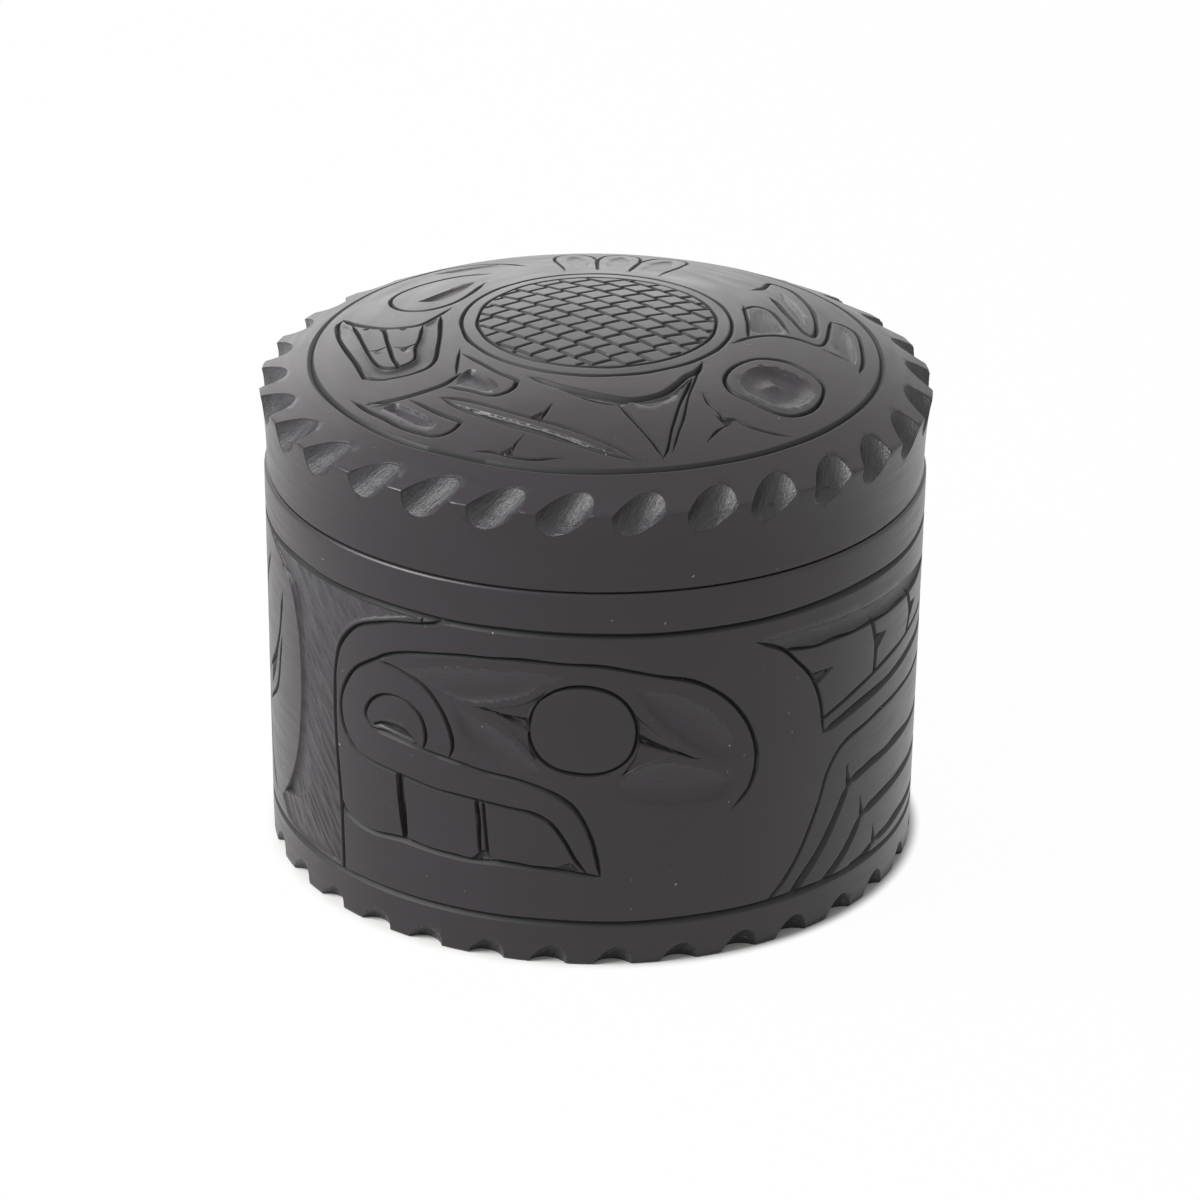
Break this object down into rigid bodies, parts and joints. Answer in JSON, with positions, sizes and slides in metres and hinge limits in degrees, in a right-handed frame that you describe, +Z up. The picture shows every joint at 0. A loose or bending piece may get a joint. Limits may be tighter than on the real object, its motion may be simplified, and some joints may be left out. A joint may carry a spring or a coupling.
{
  "type": "carved stone lidded box",
  "caption": "Round carved argillite box with a hollow body and a domed lift-off lid with a gouged edge.",
  "frame": {"origin": "centre of the flat underside", "axes": "+Z up out of the lid's crown, the front of the carving faces -Y, +X to the viewer's right"},
  "size_m": [0.081, 0.0812, 0.0669],
  "materials": {
    "argillite_body": "hand-carved, rubbed to a satin polish",
    "argillite_lid": "hand-carved, rubbed to a satin polish"
  },
  "bodies": {
    "box_body": {"box_body": "argillite_body"},
    "lid": {"lid": "argillite_lid"}
  },
  "joints": [
    {"name": "lid_lift", "type": "slide", "parent": "box_body", "child": "lid", "axis": [0, 0, 1], "range_m": [0, 0.06]}
  ]
}
